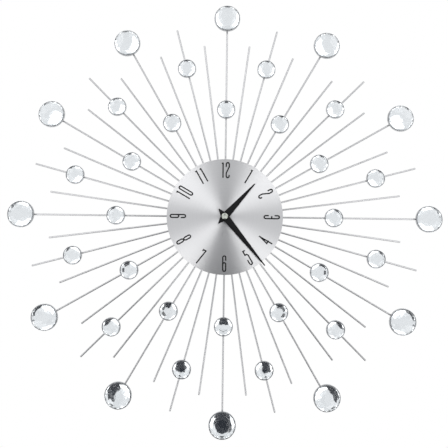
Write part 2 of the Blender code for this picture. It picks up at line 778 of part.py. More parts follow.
def pivot_axes():
    """Every wheel axis that runs between the cover and the case floor."""
    return [MOTION_AXIS, THIRD_AXIS, FOURTH_AXIS, FIFTH_AXIS, ROTOR_AXIS]


def post_places():
    """Posts on the case floor that carry the circuit board."""
    return [(side * (CONTACT_INNER - POST_INSET), BOARD_MIDDLE) for side in (-1, 1)]


def make_case(plastic):
    """The front shell: train room, battery bay, pivot holes, posts and threaded bush."""
    case = solid(prism, rounded_square(CASE_HALF, CASE_CORNER), CASE_BACK, CASE_DEPTH)
    bush = rod(BUSH_RADIUS, FLOOR_BACK + CASE_FLOOR / 2, BUSH_FRONT, 24)
    inside = INSIDE_HALF
    notch = CONTACT_INNER - CONTACT_NOTCH
    notch_back = CASE_BACK - GAP
    notch_front = BATTERY_DEPTH + CONTACT_HALF
    cut(
        case,
        box(-inside, inside, TRAIN_BOTTOM, inside, 0.0, FLOOR_BACK),
        box(-inside, inside, BAY_BOTTOM, BAY_TOP, 0.0, FLOOR_BACK),
        box(notch, inside, BAY_TOP - 0.001, TRAIN_BOTTOM + 0.001, notch_back, notch_front),
        box(-inside, -notch, BAY_TOP - 0.001, TRAIN_BOTTOM + 0.001, notch_back, notch_front),
    )
    post_back = BOARD_BACK + BOARD_THICK + GAP
    posts = [rod(POST_RADIUS, post_back, FLOOR_BACK + CASE_FLOOR / 2, 8, at) for at in post_places()]
    join(case, bush, *posts)
    bores = [rod(PIVOT_RADIUS + GAP, CASE_BACK, CASE_DEPTH + GAP, 8, at) for at in pivot_axes() + [KNOB_AXIS]]
    cut(case, rod(BUSH_BORE, FLOOR_BACK - GAP, BUSH_FRONT + GAP, 24), *bores)
    finish(case, "movement_case", plastic)


def make_cover(plastic):
    """The rear cover: pivot bosses, the battery window and the setting knob's hole."""
    cover = solid(prism, rounded_square(CASE_HALF, CASE_CORNER), 0.0, COVER_THICK)
    window = INSIDE_HALF - BATTERY_ROOM
    bore = PIVOT_RADIUS + GAP
    boss_front = COVER_THICK + PIVOT_BOSS_HEIGHT
    axes = pivot_axes() + [CENTRE_AXIS]
    join(cover, *[rod(bore + PIVOT_BOSS_WALL, COVER_THICK / 2, boss_front, 12, at) for at in axes])
    cut(cover, *[rod(bore, COVER_THICK, boss_front + GAP, 8, at) for at in axes])
    cut(
        cover,
        box(-window, window, BAY_BOTTOM + GAP, BAY_TOP, -GAP, CASE_BACK),
        rod(KNOB_RADIUS + 2 * GAP, -GAP, CASE_BACK, 24, KNOB_AXIS),
    )
    finish(cover, "movement_cover", plastic)


def make_battery(label):
    """An AA cell lying along X, free to lift out of the back."""
    half = BATTERY_LENGTH / 2
    shoulder = half - BATTERY_NUB_LENGTH
    rim = BATTERY_RADIUS - BATTERY_EDGE
    bm = bmesh.new()
    profile = [
        (0.0, -half),
        (rim, -half),
        (BATTERY_RADIUS, BATTERY_EDGE - half),
        (BATTERY_RADIUS, shoulder - BATTERY_EDGE),
        (rim, shoulder),
        (BATTERY_NUB_RADIUS, shoulder),
        (BATTERY_NUB_RADIUS, half),
        (0.0, half),
    ]
    lathe(bm, profile, 24)
    bmesh.ops.rotate(bm, verts=bm.verts[:], matrix=Matrix.Rotation(math.pi / 2, 3, "Z"))
    battery = finish(new_object("battery", bm), "battery", label)
    battery.location = (0.0, -BATTERY_DEPTH, BATTERY_Z)


def contact(side):
    """A battery contact strip with a tab that reaches the circuit board."""
    inner = CONTACT_INNER
    outer = inner + CONTACT_THICK
    strip = box(
        min(side * inner, side * outer),
        max(side * inner, side * outer),
        BATTERY_Z - CONTACT_HALF,
        BATTERY_Z + CONTACT_HALF,
        BATTERY_DEPTH - CONTACT_HALF,
        BATTERY_DEPTH + CONTACT_HALF,
    )
    tab_back = BATTERY_DEPTH - CONTACT_HALF
    tab = box(
        min(side * inner, side * outer),
        max(side * inner, side * outer),
        BATTERY_Z,
        BOARD_TOP,
        tab_back,
        tab_back + 0.003,
    )
    join(strip, tab)
    return strip


def make_contacts(steel):
    """Positive contact at +X and negative contact at -X."""
    finish(contact(1), "contact_positive", steel)
    finish(contact(-1), "contact_negative", steel)


# ---------------------------------------------------------------- wheels


def wheel_phases():
    """Each gear's phase, worked along the two trains so that all teeth mesh at rest."""
    phases = {"cannon": TO_MOTION, "centre": TO_THIRD, "motion_pinion": TO_MOTION + math.pi}
    phases["motion"] = meshing_phase(CANNON_TEETH, phases["cannon"], TO_MOTION, MOTION_TEETH)
    phases["knob"] = meshing_phase(MOTION_TEETH, phases["motion"], TO_KNOB, KNOB_TEETH)
    phases["hour"] = meshing_phase(
        MOTION_PINION_TEETH, phases["motion_pinion"], TO_MOTION + math.pi, HOUR_TEETH
    )
    phases["third_pinion"] = meshing_phase(CENTRE_TEETH, phases["centre"], TO_THIRD, THIRD_PINION_TEETH)
    phases["third"] = TO_FOURTH
    phases["fourth_pinion"] = meshing_phase(THIRD_TEETH, TO_FOURTH, TO_FOURTH, FOURTH_PINION_TEETH)
    phases["fourth"] = TO_FIFTH
    phases["fifth_pinion"] = meshing_phase(FOURTH_TEETH, TO_FIFTH, TO_FIFTH, FIFTH_PINION_TEETH)
    phases["fifth"] = TO_ROTOR
    phases["rotor"] = meshing_phase(FIFTH_TEETH, TO_ROTOR, TO_ROTOR, ROTOR_TEETH)
    return phases


def gear_solid(teeth, module, phase, back, front):
    """A toothed disc as a loose solid."""
    return solid(prism, gear(teeth, module, phase), back, front)


def make_hand_work(brass, phases):
    """Minute arbor with cannon pinion, hour wheel with tube, and the motion wheel."""
    shoulder = MINUTE_HAND_BACK - GAP
    seat_back = CENTRE_WHEEL_BACK - GAP - CLUTCH_SEAT_THICK
    profile = [
        (0.0, PIVOT_BACK),
        (PIVOT_RADIUS, PIVOT_BACK),
        (PIVOT_RADIUS, seat_back),
        (CLUTCH_SEAT_RADIUS, seat_back),
        (CLUTCH_SEAT_RADIUS, seat_back + CLUTCH_SEAT_THICK),
        (MINUTE_RADIUS, seat_back + CLUTCH_SEAT_THICK),
        (MINUTE_RADIUS, shoulder),
        (MINUTE_END_RADIUS, shoulder),
        (MINUTE_END_RADIUS, CAP_BACK + CAP_SOCKET - GAP),
        (0.0, CAP_BACK + CAP_SOCKET - GAP),
    ]
    cannon_back = MOTION_WHEEL_BACK - PINION_OVERHANG
    cannon = gear_solid(CANNON_TEETH, MOTION_MODULE, phases["cannon"], cannon_back, HOUR_WHEEL_BACK - GAP)
    finish(join(solid(lathe, profile, 16), cannon), "minute_arbor", brass)

    tube_front = HOUR_HAND_BACK + HAND_THICK + HAND_RIDGE
    hour_front = HOUR_WHEEL_BACK + WHEEL_THICK
    hour_disc = gear_solid(HOUR_TEETH, HOUR_MODULE, phases["hour"], HOUR_WHEEL_BACK, hour_front)
    hour_wheel = join(hour_disc, rod(HOUR_TUBE_RADIUS, hour_front - WHEEL_THICK / 2, tube_front, 20))
    cut(hour_wheel, rod(HOUR_TUBE_BORE, HOUR_WHEEL_BACK - GAP, tube_front + GAP, 20))
    finish(hour_wheel, "hour_wheel", brass)

    motion_front = MOTION_WHEEL_BACK + WHEEL_THICK
    motion_wheel = join(
        rod(PIVOT_RADIUS, PIVOT_BACK, PIVOT_FRONT, 8),
        gear_solid(MOTION_TEETH, MOTION_MODULE, phases["motion"], MOTION_WHEEL_BACK, motion_front),
        gear_solid(
            MOTION_PINION_TEETH,
            HOUR_MODULE,
            phases["motion_pinion"],
            motion_front - WHEEL_THICK / 2,
            hour_front + PINION_OVERHANG,
        ),
    )
    finish(motion_wheel, "motion_wheel", brass, MOTION_AXIS)


def make_knob(plastic, phases):
    """The setting knob, its arbor and the pinion that turns the motion wheel."""
    ridges = []
    for k in range(KNOB_RIDGES * 2):
        radius = KNOB_RADIUS if k % 2 else KNOB_RADIUS - 0.0003
        angle = math.tau * k / (KNOB_RIDGES * 2)
        ridges.append((radius * math.cos(angle), radius * math.sin(angle)))
    pinion_front = MOTION_WHEEL_BACK + WHEEL_THICK + PINION_OVERHANG
    pinion_back = MOTION_WHEEL_BACK - PINION_OVERHANG
    knob = join(
        solid(prism, ridges, GAP, GAP + KNOB_THICK),
        rod(KNOB_ARBOR_RADIUS, GAP + KNOB_THICK / 2, pinion_front, 12),
        gear_solid(KNOB_TEETH, MOTION_MODULE, phases["knob"], pinion_back, pinion_front),
        rod(PIVOT_RADIUS, pinion_front - PINION_OVERHANG, PIVOT_FRONT, 8),
    )
    grip = KNOB_RADIUS * 0.7
    cut(knob, box(-grip, grip, -0.0006, 0.0006, 0.0, GAP + KNOB_THICK / 3))
    finish(knob, "setting_knob", plastic, KNOB_AXIS)


def train_wheel(name, axis, white, wheel, pinion):
    """A wheel and pinion on one arbor that runs in the cover and the floor."""
    teeth, phase, wheel_back = wheel
    pinion_teeth, pinion_phase, pinion_back, pinion_front = pinion
    body = join(
        rod(PIVOT_RADIUS, PIVOT_BACK, PIVOT_FRONT, 8),
        gear_solid(teeth, TRAIN_MODULE, phase, wheel_back, wheel_back + THIN_WHEEL),
        gear_solid(pinion_teeth, TRAIN_MODULE, pinion_phase, pinion_back, pinion_front),
    )
    finish(body, name, white, axis)


def make_going_train(white, magnet, phases):
    """Centre, third, fourth and fifth wheels, and the rotor that steps them."""
    centre_front = CENTRE_WHEEL_BACK + WHEEL_THICK
    centre = gear_solid(CENTRE_TEETH, TRAIN_MODULE, phases["centre"], CENTRE_WHEEL_BACK, centre_front)
    cut(centre, rod(MINUTE_RADIUS + GAP, THIRD_WHEEL_BACK, HOUR_WHEEL_BACK, 16))
    finish(centre, "centre_wheel", white)
    over = PINION_OVERHANG
    train_wheel(
        "third_wheel",
        THIRD_AXIS,
        white,
        (THIRD_TEETH, phases["third"], THIRD_WHEEL_BACK),
        (THIRD_PINION_TEETH, phases["third_pinion"], THIRD_WHEEL_BACK + THIN_WHEEL / 2, centre_front + over),
    )
    train_wheel(
        "fourth_wheel",
        FOURTH_AXIS,
        white,
        (FOURTH_TEETH, phases["fourth"], FOURTH_WHEEL_BACK),
        (
            FOURTH_PINION_TEETH,
            phases["fourth_pinion"],
            FOURTH_WHEEL_BACK + THIN_WHEEL / 2,
            THIRD_WHEEL_BACK + THIN_WHEEL + over,
        ),
    )
    train_wheel(
        "fifth_wheel",
        FIFTH_AXIS,
        white,
        (FIFTH_TEETH, phases["fifth"], FIFTH_WHEEL_BACK),
        (
            FIFTH_PINION_TEETH,
            phases["fifth_pinion"],
            FOURTH_WHEEL_BACK - over,
            FIFTH_WHEEL_BACK + THIN_WHEEL / 2,
        ),
    )
    rotor = join(
        rod(PIVOT_RADIUS, PIVOT_BACK, PIVOT_FRONT, 8),
        gear_solid(ROTOR_TEETH, TRAIN_MODULE, phases["rotor"], FIFTH_WHEEL_BACK - over, MAGNET_BACK + over),
        rod(MAGNET_RADIUS, MAGNET_BACK, MAGNET_BACK + MAGNET_THICK, 16),
    )
    finish(rotor, "rotor", magnet, ROTOR_AXIS)


# ---------------------------------------------------------------- motor, plate and board


def make_motor(lamination, copper):
    """The stator round the rotor, and the coil on its core."""
    stator_back = MAGNET_BACK + (MAGNET_THICK - STATOR_THICK) / 2
    stator_front = stator_back + STATOR_THICK
    top = INSIDE_CLEAR - STATOR_INSET
    bottom = ROTOR_AXIS[1] - STATOR_REACH
    left = ROTOR_AXIS[0] - STATOR_REACH
    core_x = INSIDE_CLEAR - COIL_RADIUS - STATOR_INSET
    window_left = ROTOR_AXIS[0] + STATOR_REACH
    stator = box(left, core_x + CORE_HALF, bottom, top, stator_back, stator_front)
    behind = stator_back - GAP
    beyond = stator_front + GAP
    cut(
        stator,
        rod(MAGNET_RADIUS + STATOR_ROOM, behind, beyond, 20, ROTOR_AXIS),
        box(window_left, core_x - CORE_HALF, bottom + STATOR_ARM, top - STATOR_ARM, behind, beyond),
    )
    finish(stator, "stator", lamination)
    bm = bmesh.new()
    low = bottom + STATOR_ARM + GAP
    high = top - STATOR_ARM - GAP
    bore = math.hypot(CORE_HALF, STATOR_THICK / 2) + GAP
    lathe(bm, ring_profile(bore, COIL_RADIUS, -high, -low), 16, True)
    bmesh.ops.rotate(bm, verts=bm.verts[:], matrix=Matrix.Rotation(math.pi / 2, 3, "X"))
    bmesh.ops.translate(bm, verts=bm.verts[:], vec=(core_x, -(stator_back + stator_front) / 2, 0.0))
    finish(new_object("coil", bm), "coil", copper)


def make_board(laminate):
    """The circuit board with its moulded chip and the quartz can soldered on."""
    half = CONTACT_INNER - BOARD_END_ROOM
    front = BOARD_BACK + BOARD_THICK
    board = box(-half, half, BOARD_BOTTOM, BOARD_TOP, BOARD_BACK, front)
    chip = rod(CHIP_RADIUS, front - GAP, front + CHIP_HEIGHT, 12, (half / 3, BOARD_MIDDLE))
    bm = bmesh.new()
    can_profile = [(0.0, 0.0), (QUARTZ_RADIUS, 0.0), (QUARTZ_RADIUS, QUARTZ_LENGTH), (0.0, QUARTZ_LENGTH)]
    lathe(bm, can_profile, 12)
    bmesh.ops.rotate(bm, verts=bm.verts[:], matrix=Matrix.Rotation(math.pi / 2, 3, "Z"))
    can_depth = front + QUARTZ_RADIUS - GAP
    bmesh.ops.translate(bm, verts=bm.verts[:], vec=(-half / 3, -can_depth, BOARD_MIDDLE))
    finish(join(board, chip, new_object("tool", bm)), "circuit_board", laminate)


def main():
    """Clear the scene and build every piece."""
    for obj in list(bpy.data.objects):
        bpy.data.objects.remove(obj)
    wire_steel = material("satin_silver_steel", (0.56, 0.56, 0.57), 0.28, 1.0)
    glass = material("mirror_backed_acrylic", (0.80, 0.83, 0.86), 0.06, 0.5)
    aluminium = material("spun_aluminium", (0.66, 0.66, 0.67), 0.30, 1.0)
    black = material("black_lacquer", (0.012, 0.012, 0.014), 0.35, 0.0)
    nickel = material("satin_nickel", (0.52, 0.53, 0.47), 0.35, 1.0)
    brass = material("turned_brass", (0.68, 0.48, 0.20), 0.30, 1.0)
    zinc = material("zinc_plated_steel", (0.50, 0.51, 0.53), 0.40, 1.0)
    case_plastic = material("black_moulded_plastic", (0.020, 0.020, 0.022), 0.50, 0.0)
    white = material("white_acetal", (0.78, 0.77, 0.72), 0.40, 0.0)
    magnet = material("ferrite_magnet", (0.06, 0.06, 0.065), 0.55, 0.2)
    copper = material("enamelled_copper", (0.62, 0.25, 0.10), 0.35, 1.0)
    laminate = material("green_circuit_board", (0.02, 0.16, 0.06), 0.45, 0.0)
    label = material("battery_label", (0.05, 0.09, 0.22), 0.35, 0.1)

    make_ray_frame(wire_steel)
    make_stones(glass)
    make_dial(aluminium)
    make_hands(black, nickel)
    make_nut(brass)
    make_hanger(zinc)
    make_case(case_plastic)
    make_cover(case_plastic)
    make_battery(label)
    make_contacts(zinc)
    phases = wheel_phases()
    make_hand_work(brass, phases)
    make_knob(case_plastic, phases)
    make_going_train(white, magnet, phases)
    make_motor(zinc, copper)
    make_board(laminate)


main()
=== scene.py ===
"""Looks of the sunburst wall clock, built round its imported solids.

Lengths are metres, +Z is twelve o'clock, +X is three o'clock and the dial faces -Y.
A depth is a distance in front of the wall, so a point's y is -depth.
"""

import math

import bmesh
import bpy
from bpy.props import FloatProperty, FloatVectorProperty, IntProperty, PointerProperty
from mathutils import Matrix, Vector


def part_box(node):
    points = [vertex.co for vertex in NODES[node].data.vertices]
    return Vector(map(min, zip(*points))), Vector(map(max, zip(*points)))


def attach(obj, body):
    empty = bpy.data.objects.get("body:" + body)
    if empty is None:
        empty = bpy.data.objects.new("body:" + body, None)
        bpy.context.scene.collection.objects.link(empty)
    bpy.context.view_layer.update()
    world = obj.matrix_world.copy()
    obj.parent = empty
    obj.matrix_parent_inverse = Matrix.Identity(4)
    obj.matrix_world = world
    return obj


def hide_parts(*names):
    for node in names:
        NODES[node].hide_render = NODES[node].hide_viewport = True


bl_info = {
    "name": "Sunburst wall clock",
    "version": (1, 0, 0),
    "blender": (4, 5, 0),
    "location": "3D View > Sidebar > Clock",
    "description": "Builds the visible pieces and finishes of a sunburst wall clock",
    "category": "Add Mesh",
}

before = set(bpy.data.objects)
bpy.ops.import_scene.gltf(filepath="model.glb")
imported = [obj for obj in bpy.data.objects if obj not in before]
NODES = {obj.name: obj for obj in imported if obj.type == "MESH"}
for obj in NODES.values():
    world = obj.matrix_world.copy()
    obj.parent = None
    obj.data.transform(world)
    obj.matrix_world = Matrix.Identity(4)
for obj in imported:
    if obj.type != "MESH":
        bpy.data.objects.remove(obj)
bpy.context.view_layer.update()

HOURS = 12
WIRES = 4 * HOURS
HOUR_TURN = math.tau / HOURS
BODY = "clock"

# Points this close count as level
NEAR = 0.00001

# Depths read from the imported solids
DIAL_LOW, DIAL_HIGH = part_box("dial")
STONE_BACK = -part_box("hour_crystal_12")[1].y
HUB_BACK = -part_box("ray_frame")[1].y

# Hub plate and wires
HUB_THICK = 0.0012
HUB_FRONT = HUB_BACK + HUB_THICK
HUB_BORE = 0.0043
HUB_EDGE = 0.0003
HUB_STEPS = 96
WIRE_START = 0.026
WIRE_SIDES = 14
WELD = 0.0003
TIP_ROUND_SHARE = 0.45

# Cups: the heel is the round at the back, the rim is rolled over at the front
CUP_WALL = 0.0008
STONE_GAP = 0.0003
CUP_BACK = STONE_BACK - STONE_GAP - CUP_WALL
HEEL = 0.0006
HEEL_BREAK = 0.0002
RIM = 0.0004
RIM_BREAK = 0.0001
LARGE_CUP_STEPS = 48
SMALL_CUP_STEPS = 36

# Stones: a face that looks less than this to the front is silvered
SILVERED = -0.01

# Dial disc
DIAL_THICK = 0.0010
DIAL_BORE = 0.0034
DIAL_EDGE = 0.0003
DIAL_BREAK = 0.0001
DIAL_STEPS = 192

# Cap: the crown's rows are (share of the radius, depth below its highest ring)
CAP_BORE = 0.0014
CAP_BORE_DEPTH = 0.0014
CAP_CORNER = 0.0002
CAP_STEPS = 64
CAP_CROWN = (
    (1.0, 0.0010),
    (0.97, 0.0006),
    (0.90, 0.00025),
    (0.76, 0.00005),
    (0.62, 0.0),
    (0.50, 0.0001),
    (0.38, 0.00035),
    (0.20, 0.00045),
    (0.0, 0.0005),
)

# Stage: each row of the dark card is (left, right, y, z), and the lens card is (x, z) corners
FLOOR_RADIUS = 4.0
FLOOR_HEIGHT = -2.1
FLOOR_STEPS = 96
SOFTBOX_OUT = 1.25
SOFTBOX_FRONT = -1.5
FLAG_ROWS = (
    (-0.24, 0.14, -1.30, -0.30),
    (-0.40, 0.34, -0.50, -0.87),
    (-0.60, 0.60, 0.15, -1.15),
)
LENS_CARD_FRONT = -0.76
LENS_CARD = ((-0.07, -0.11), (0.07, -0.11), (0.07, -0.01), (-0.07, -0.01))
CAMERA_PLACE = (-0.0001, -0.7102, -0.0629)
CAMERA_TILT = math.radians(94.52)
CAMERA_ROLL = math.radians(-0.748)
CAMERA_SENSOR = 36.0
CAMERA_LENS = 48.21

# Sockets of the colour mix, whose labels repeat for each kind of value
MIX_FACTOR, MIX_FIRST, MIX_SECOND, MIX_COLOUR = 0, 6, 7, 2


# ---------------------------------------------------------------- colour and nodes


def linear(code):
    """Turn an sRGB hex colour into linear red, green, blue and alpha."""
    channels = [int(code[k : k + 2], 16) / 255 for k in (0, 2, 4)]
    made = [c / 12.92 if c <= 0.04045 else ((c + 0.055) / 1.055) ** 2.4 for c in channels]
    return (*made, 1.0)


def add(tree, kind, inputs=None, **settings):
    """Add a node with its settings; an input is a value or another node's socket."""
    node = tree.nodes.new(kind)
    for name, value in settings.items():
        setattr(node, name, value)
    for name, value in (inputs or {}).items():
        if isinstance(value, bpy.types.NodeSocket):
            tree.links.new(value, node.inputs[name])
        else:
            node.inputs[name].default_value = value
    return node


def surface(name, base, roughness, metallic=0.0, **constants):
    """Start a material: its shader's constants are set straight on the sockets."""
    made = bpy.data.materials.new(name)
    made.use_nodes = True
    tree = made.node_tree
    shader = tree.nodes["Principled BSDF"]
    shader.inputs["Base Color"].default_value = base
    shader.inputs["Roughness"].default_value = roughness
    shader.inputs["Metallic"].default_value = metallic
    for label, value in constants.items():
        shader.inputs[label.replace("_", " ")].default_value = value
    return made, tree, shader


def link(tree, source, target):
    """Join one socket to another."""
    tree.links.new(source, target)


def object_place(tree):
    """The point of a surface in the piece's own coordinates."""
    return add(tree, "ShaderNodeTexCoord").outputs["Object"]


def ramp(tree, amount, stops, interpolation="LINEAR"):
    """Colours along an amount, from stops of a position and a hex colour."""
    node = add(tree, "ShaderNodeValToRGB", {"Fac": amount})
    node.color_ramp.interpolation = interpolation
    elements = node.color_ramp.elements
    for k, (position, code) in enumerate(stops[:2]):
        elements[k].position = position
        elements[k].color = linear(code)
    for position, code in stops[2:]:
        elements.new(position).color = linear(code)
    return node.outputs["Color"]


def spread_of(tree, amount, low, high):
    """An amount from 0 to 1 spread over a range."""
    node = add(tree, "ShaderNodeMapRange", {"Value": amount, "To Min": low, "To Max": high})
    return node.outputs["Result"]


def relief(tree, amount, distance_mm, strength):
    """A bump of a real height."""
    node = add(
        tree,
        "ShaderNodeBump",
        {"Height": amount, "Distance": distance_mm / 1000, "Strength": strength},
    )
    return node.outputs["Normal"]


def turned_round(tree, shader):
    """Run the grain of a finish round the arbor."""
    shader.inputs["Anisotropic Rotation"].default_value = 0.25
    tangent = add(tree, "ShaderNodeTangent", direction_type="RADIAL", axis="Y")
    link(tree, tangent.outputs["Tangent"], shader.inputs["Tangent"])


def mottled(name, code, other_code, roughness, metallic, size_mm, spread, bump_mm, **constants):
    """A finish that one fine noise of a real size varies in colour, gloss and height."""
    base, other = linear(code), linear(other_code)
    made, tree, shader = surface(name, base, roughness, metallic, **constants)
    noise = add(
        tree,
        "ShaderNodeTexNoise",
        {"Vector": object_place(tree), "Scale": 1000 / size_mm, "Detail": 3.0},
    )
    amount = noise.outputs["Fac"]
    colour = add(
        tree,
        "ShaderNodeMix",
        {MIX_FACTOR: amount, MIX_FIRST: base, MIX_SECOND: other},
        data_type="RGBA",
    )
    rough = spread_of(tree, amount, roughness - spread, roughness + spread)
    link(tree, colour.outputs[MIX_COLOUR], shader.inputs["Base Color"])
    link(tree, rough, shader.inputs["Roughness"])
    link(tree, relief(tree, amount, bump_mm, 0.6), shader.inputs["Normal"])
    return made


# ---------------------------------------------------------------- finishes


def plated_wire():
    """Nickel-plated drawn steel wire: a pale satin line, faintly uneven in its plating."""
    return mottled("nickel_plated_drawn_wire", "B4B4B5", "A9A9AB", 0.30, 1.0, 3.0, 0.05, 0.01)


def plated_cup():
    """Pressed and plated steel cup: a brighter, tighter gloss than the wire."""
    return mottled("nickel_plated_pressed_cup", "C4C5C6", "AEB0B2", 0.22, 1.0, 1.5, 0.05, 0.01)


def cut_acrylic():
    """Cut and polished acrylic: water-clear, with sharp facets that bend the light."""
    made, tree, shader = surface("polished_cut_acrylic", linear("FBFDFD"), 0.0, IOR=1.49)
    shader.inputs["Transmission Weight"].default_value = 1.0
    haze = add(
        tree,
        "ShaderNodeTexNoise",
        {"Vector": object_place(tree), "Scale": 400.0, "Detail": 2.0},
    )
    link(tree, spread_of(tree, haze.outputs["Fac"], 0.0, 0.03), shader.inputs["Roughness"])
    return made


def silvering():
    """Vacuum-silvered back of a stone: a mirror with a trace of uneven coating."""
    return mottled("vacuum_silvered_backing", "F6F7F8", "ECEEF0", 0.05, 1.0, 2.5, 0.03, 0.002)


def spun_aluminium():
    """Lathe-spun aluminium: rings drawn round the arbor fan the light into wedges."""
    made, tree, shader = surface(
        "lathe_spun_aluminium", linear("D0D0D1"), 0.36, 1.0, Anisotropic=0.90
    )
    flat = add(
        tree,
        "ShaderNodeVectorMath",
        {0: object_place(tree), 1: (1.0, 0.0, 1.0)},
        operation="MULTIPLY",
    )
    reach = add(
        tree, "ShaderNodeVectorMath", {0: flat.outputs["Vector"]}, operation="LENGTH"
    )
    along = add(tree, "ShaderNodeCombineXYZ", {"X": reach.outputs["Value"]})
    rings = add(
        tree,
        "ShaderNodeTexNoise",
        {"Vector": along.outputs["Vector"], "Scale": 900.0, "Detail": 4.0, "Roughness": 0.7},
    ).outputs["Fac"]
    colour = ramp(tree, rings, ((0.30, "CDCDCE"), (0.70, "D5D5D6")))
    link(tree, colour, shader.inputs["Base Color"])
    link(tree, spread_of(tree, rings, 0.43, 0.47), shader.inputs["Roughness"])
    turned_round(tree, shader)
    return made


def printed_ink():
    """Screen-printed black ink: flat, with a slight unevenness of the print."""
    return mottled(
        "screen_printed_ink", "0A0A0B", "141415", 0.6, 0.0, 0.8, 0.08, 0.004, Specular_IOR_Level=0.2
    )


def black_lacquer():
    """Sprayed black lacquer on stamped aluminium: deep black with a soft sheen."""
    return mottled(
        "sprayed_black_lacquer", "050506", "0D0D0F", 0.45, 0.0, 1.2, 0.05, 0.003, Specular_IOR_Level=0.16
    )


def turned_nickel():
    """Turned and nickel-plated brass: a soft grey with rings from the tool."""
    made, tree, shader = surface(
        "turned_satin_nickel", linear("B2B6AE"), 0.34, 1.0, Anisotropic=0.5
    )
    rings = add(
        tree,
        "ShaderNodeTexWave",
        {"Vector": object_place(tree), "Scale": 400.0, "Distortion": 0.4, "Detail": 1.0},
        wave_type="RINGS",
        rings_direction="Y",
    )
    colour = ramp(tree, rings.outputs["Fac"], ((0.0, "A3A79F"), (1.0, "BCC0B8")))
    link(tree, colour, shader.inputs["Base Color"])
    turned_round(tree, shader)
    return made


def moulded_abs():
    """Injection-moulded ABS: near black, with the fine spark texture of its mould."""
    return mottled("moulded_black_abs", "1B1B1D", "26262A", 0.48, 0.0, 0.5, 0.08, 0.02)


def milled_brass():
    """Milled and turned brass: warm yellow, hardly polished."""
    return mottled("milled_brass", "CDA452", "B98F42", 0.30, 1.0, 1.2, 0.08, 0.006)


def plated_sheet():
    """Zinc-plated sheet: bluish grey with soft blotches."""
    return mottled("zinc_plated_sheet", "B9BEC3", "A2A8AE", 0.36, 1.0, 3.0, 0.10, 0.01)


def moulded_acetal():
    """Moulded acetal: milky white and slightly waxy."""
    return mottled(
        "moulded_white_acetal", "E6E4DC", "DAD7CC", 0.38, 0.0, 1.0, 0.05, 0.008, Subsurface_Weight=0.1
    )


def sintered_ferrite():
    """Sintered ferrite: dark grey and grainy."""
    return mottled("sintered_ferrite", "3A3A3D", "29292B", 0.6, 0.2, 0.3, 0.1, 0.02)


def masked_laminate():
    """Glass-fibre laminate under green solder mask: an even green with a thin gloss."""
    return mottled(
        "green_solder_mask", "1E6B3C", "17552F", 0.32, 0.0, 0.6, 0.06, 0.01, Coat_Weight=0.3
    )


def wound_copper():
    """Enamelled copper wire in layers, drawn coarser than real so that the turns show; its colour
    darkens into the grooves between the turns as painted shade.
    """
    pitch_mm = 0.35
    made, tree, shader = surface("enamelled_copper_winding", linear("C9702F"), 0.34, 1.0)
    turns = add(
        tree,
        "ShaderNodeTexWave",
        {"Vector": object_place(tree), "Scale": 1000 / pitch_mm / math.tau / 2, "Distortion": 0.3},
        bands_direction="Z",
    ).outputs["Fac"]
    # Painted shade: the copper colour darkens to dark brown in the grooves between the turns
    colour = ramp(tree, turns, ((0.0, "7E3D18"), (1.0, "C9702F")))
    link(tree, colour, shader.inputs["Base Color"])
    link(tree, relief(tree, turns, pitch_mm / 4, 0.7), shader.inputs["Normal"])
    return made


def battery_film():
    """Shrunk film label on a steel can: blue and gold film, bare metal at both ends."""
    low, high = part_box("battery")
    film, crown = 0.02, 0.955
    made, tree, shader = surface("battery_film_and_can", linear("1C3F7A"), 0.25, Coat_Weight=0.4)
    along = add(tree, "ShaderNodeSeparateXYZ", {"Vector": object_place(tree)}).outputs["X"]
    share = add(
        tree, "ShaderNodeMapRange", {"Value": along, "From Min": low.x, "From Max": high.x}
    ).outputs["Result"]
    bands = ((0.0, "C4C6C8"), (film, "1C3F7A"), (0.72, "B4873C"), (crown, "C4C6C8"))
    bare = ((0.0, "FFFFFF"), (film, "000000"), (crown, "FFFFFF"))
    link(tree, ramp(tree, share, bands, "CONSTANT"), shader.inputs["Base Color"])
    link(tree, ramp(tree, share, bare, "CONSTANT"), shader.inputs["Metallic"])
    return made


# ---------------------------------------------------------------- mesh helpers


def at_clock_angle(angle):
    """A turn about the arbor, clockwise as seen from the front."""
    return Matrix.Rotation(angle, 4, "Y")


def finished(name, bm, finishes, body=BODY, smooth_deg=None):
    """Turn a bmesh into a piece at the origin that rides on a body."""
    mesh = bpy.data.meshes.new(name)
    bm.to_mesh(mesh)
    bm.free()
    for finish in finishes:
        mesh.materials.append(finish)
    if smooth_deg is not None:
        mesh.shade_smooth()
        mesh.set_sharp_from_angle(angle=math.radians(smooth_deg))
    piece = bpy.data.objects.new(name, mesh)
    bpy.context.scene.collection.objects.link(piece)
    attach(piece, body)
    return piece


def spun(bm, section, steps):
    """Spin a section of (radius, depth) points a full turn about the Y axis."""
    start = [bm.verts.new((radius, -depth, 0.0)) for radius, depth in section]
    edges = [bm.edges.new(pair) for pair in zip(start, start[1:])]
    bmesh.ops.spin(
        bm,
        geom=start + edges,
        cent=(0.0, 0.0, 0.0),
        axis=(0.0, 1.0, 0.0),
        angle=math.tau,
        steps=steps,
        use_merge=True,
    )


def closed_up(bm):
    """Merge the seam and poles of spun shapes and point every face outwards."""
    bmesh.ops.remove_doubles(bm, verts=bm.verts[:], dist=1e-6)
    bmesh.ops.dissolve_degenerate(bm, edges=bm.edges[:], dist=1e-7)
    bmesh.ops.recalc_face_normals(bm, faces=bm.faces[:])


def stamp(bm, part, matrix):
    """Add a part to a larger bmesh at a place, and use the part up."""
    mesh = bpy.data.meshes.new("part")
    part.to_mesh(mesh)
    part.free()
    mesh.transform(matrix)
    bm.from_mesh(mesh)
    bpy.data.meshes.remove(mesh)


def merged_copy(node):
    """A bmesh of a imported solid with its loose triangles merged."""
    bm = bmesh.new()
    bm.from_mesh(NODES[node].data)
    bmesh.ops.remove_doubles(bm, verts=bm.verts[:], dist=1e-6)
    return bm


def dress(nodes, finish):
    """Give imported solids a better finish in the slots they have."""
    for name in nodes:
        for slot in NODES[name].material_slots:
            slot.material = finish


